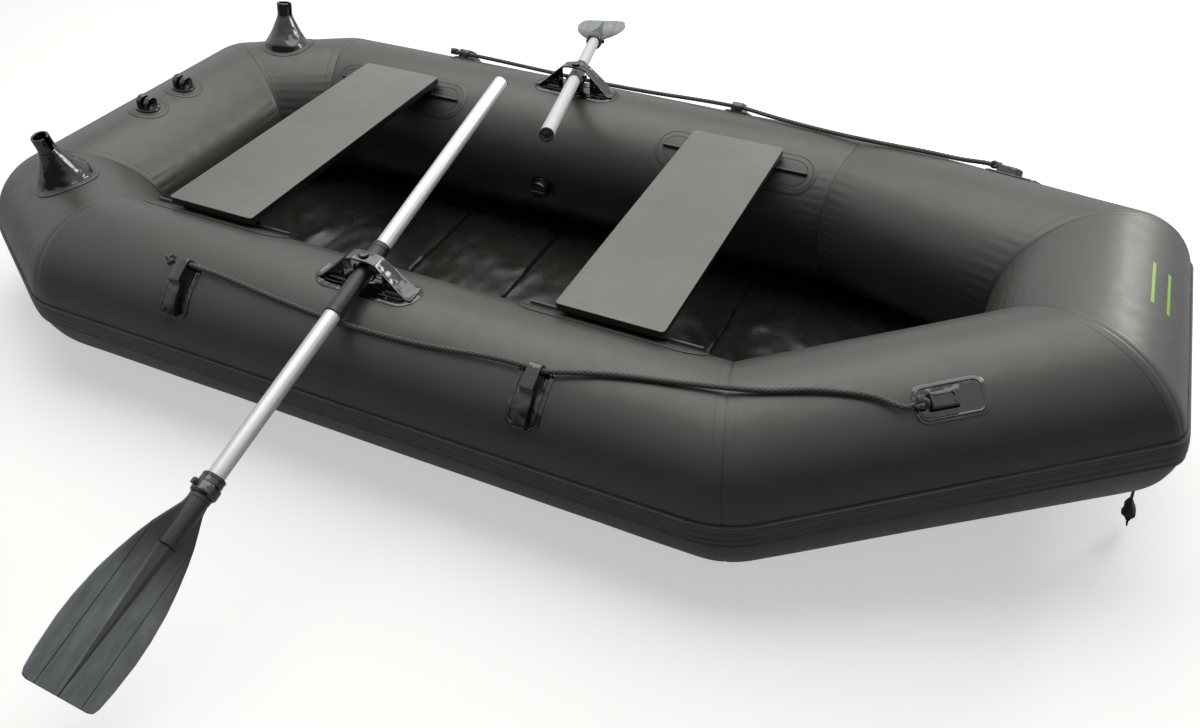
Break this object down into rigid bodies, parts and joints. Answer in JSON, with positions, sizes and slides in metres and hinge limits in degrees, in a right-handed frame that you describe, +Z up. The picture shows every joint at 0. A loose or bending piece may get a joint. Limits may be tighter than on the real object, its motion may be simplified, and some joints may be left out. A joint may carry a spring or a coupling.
{
  "type": "inflatable rowing boat",
  "caption": "Grey inflatable rowing boat with an eight-sided tube hull raised at the bow, board seats that slide on rails, oars in swivelling oarlocks, rod holders and grab ropes.",
  "frame": {"origin": "on the underside of the bottom sheet, on the centre line, midway between the seats", "axes": "+X to the bow, +Y to port, +Z up"},
  "size_m": [2.3375, 2.361, 0.4955],
  "materials": {
    "hull_vinyl": "satin grey vinyl-coated fabric",
    "strake_rubber": "satin dark grey with pale rib lines",
    "floor_vinyl": "glossy black vinyl pocket over slats",
    "welded_patch": "satin grey welded vinyl",
    "seat_board": "grey laminate on board, black edge",
    "seat_track_plastic": "satin black",
    "fitting_plastic": "gloss black moulded nylon",
    "sleeve_plastic": "satin black",
    "blade_plastic": "satin charcoal grey",
    "shaft_aluminium": "satin anodised",
    "braided_rope": "black braided polyester",
    "strap_webbing": "black woven webbing"
  },
  "bodies": {
    "hull": {"port_quarter_tube": "hull_vinyl", "port_side_tube": "hull_vinyl", "port_bow_side_tube": "hull_vinyl", "bow_tube": "hull_vinyl", "starboard_bow_side_tube": "hull_vinyl", "starboard_side_tube": "hull_vinyl", "starboard_quarter_tube": "hull_vinyl", "stern_tube": "hull_vinyl", "rubbing_strake": "strake_rubber", "bottom_sheet": "hull_vinyl", "floor_slat_1": "floor_vinyl", "floor_slat_2": "floor_vinyl", "floor_slat_3": "floor_vinyl", "floor_slat_4": "floor_vinyl", "port_forward_seat_rail": "welded_patch", "port_aft_seat_rail": "welded_patch", "port_oarlock": "fitting_plastic", "port_rod_holder": "fitting_plastic", "port_rod_holder_patch": "welded_patch", "port_stern_socket": "fitting_plastic", "port_stern_socket_patch": "welded_patch", "port_rope_cleat_1": "fitting_plastic", "port_rope_cleat_2": "fitting_plastic", "port_rope_cleat_3": "fitting_plastic", "port_grab_rope": "braided_rope", "starboard_forward_seat_rail": "welded_patch", "starboard_aft_seat_rail": "welded_patch", "starboard_oarlock": "fitting_plastic", "starboard_rod_holder": "fitting_plastic", "starboard_rod_holder_patch": "welded_patch", "starboard_stern_socket": "fitting_plastic", "starboard_stern_socket_patch": "welded_patch", "starboard_rope_cleat_1": "fitting_plastic", "starboard_rope_cleat_2": "fitting_plastic", "starboard_rope_cleat_3": "fitting_plastic", "starboard_grab_rope": "braided_rope", "valve_body": "fitting_plastic", "tow_patch": "welded_patch", "tow_strap": "strap_webbing"},
    "forward_seat": {"forward_seat": "seat_board", "port_forward_seat_track": "seat_track_plastic", "starboard_forward_seat_track": "seat_track_plastic"},
    "aft_seat": {"aft_seat": "seat_board", "port_aft_seat_track": "seat_track_plastic", "starboard_aft_seat_track": "seat_track_plastic"},
    "port_swivel": {"port_swivel_yoke": "fitting_plastic", "port_swivel_pin_cap": "fitting_plastic"},
    "port_sleeve": {"port_oar_sleeve": "sleeve_plastic"},
    "port_oar": {"port_oar_shaft": "shaft_aluminium", "port_oar_end_cap": "fitting_plastic", "port_oar_collar": "fitting_plastic", "port_oar_blade": "blade_plastic"},
    "starboard_swivel": {"starboard_swivel_yoke": "fitting_plastic", "starboard_swivel_pin_cap": "fitting_plastic"},
    "starboard_sleeve": {"starboard_oar_sleeve": "sleeve_plastic"},
    "starboard_oar": {"starboard_oar_shaft": "shaft_aluminium", "starboard_oar_end_cap": "fitting_plastic", "starboard_oar_collar": "fitting_plastic", "starboard_oar_blade": "blade_plastic"},
    "valve_cap": {"valve_cap": "fitting_plastic"}
  },
  "joints": [
    {"name": "forward_seat_slide", "type": "slide", "parent": "hull", "child": "forward_seat", "axis": [1, 0, 0], "range_m": [-0.065, 0.065]},
    {"name": "aft_seat_slide", "type": "slide", "parent": "hull", "child": "aft_seat", "axis": [1, 0, 0], "range_m": [-0.065, 0.065]},
    {"name": "port_oar_sweep", "type": "hinge", "parent": "hull", "child": "port_swivel", "pos_m": [0, 0.42, 0.352], "axis": [0, 0, -1], "range_deg": [-20.5, 14]},
    {"name": "port_oar_dip", "type": "hinge", "parent": "port_swivel", "child": "port_sleeve", "pos_m": [0, 0.42, 0.352], "axis": [-0.9426, -0.3338, 0], "range_deg": [-28, 0]},
    {"name": "port_oar_feather", "type": "hinge", "parent": "port_sleeve", "child": "port_oar", "pos_m": [0, 0.42, 0.352], "axis": [-0.3253, 0.9185, -0.225], "range_deg": [-90, 90]},
    {"name": "starboard_oar_sweep", "type": "hinge", "parent": "hull", "child": "starboard_swivel", "pos_m": [0, -0.42, 0.352], "axis": [0, 0, 1], "range_deg": [-13, 40]},
    {"name": "starboard_oar_dip", "type": "hinge", "parent": "starboard_swivel", "child": "starboard_sleeve", "pos_m": [0, -0.42, 0.352], "axis": [1, 0, 0], "range_deg": [-29, 0]},
    {"name": "starboard_oar_feather", "type": "hinge", "parent": "starboard_sleeve", "child": "starboard_oar", "pos_m": [0, -0.42, 0.352], "axis": [0, -0.9681, -0.2504], "range_deg": [-90, 90]},
    {"name": "valve_cap_turn", "type": "hinge", "parent": "hull", "child": "valve_cap", "pos_m": [-0.016, 0.25252, 0.14212], "axis": [0, -0.9934, -0.1149], "range_deg": [0, 90]}
  ]
}
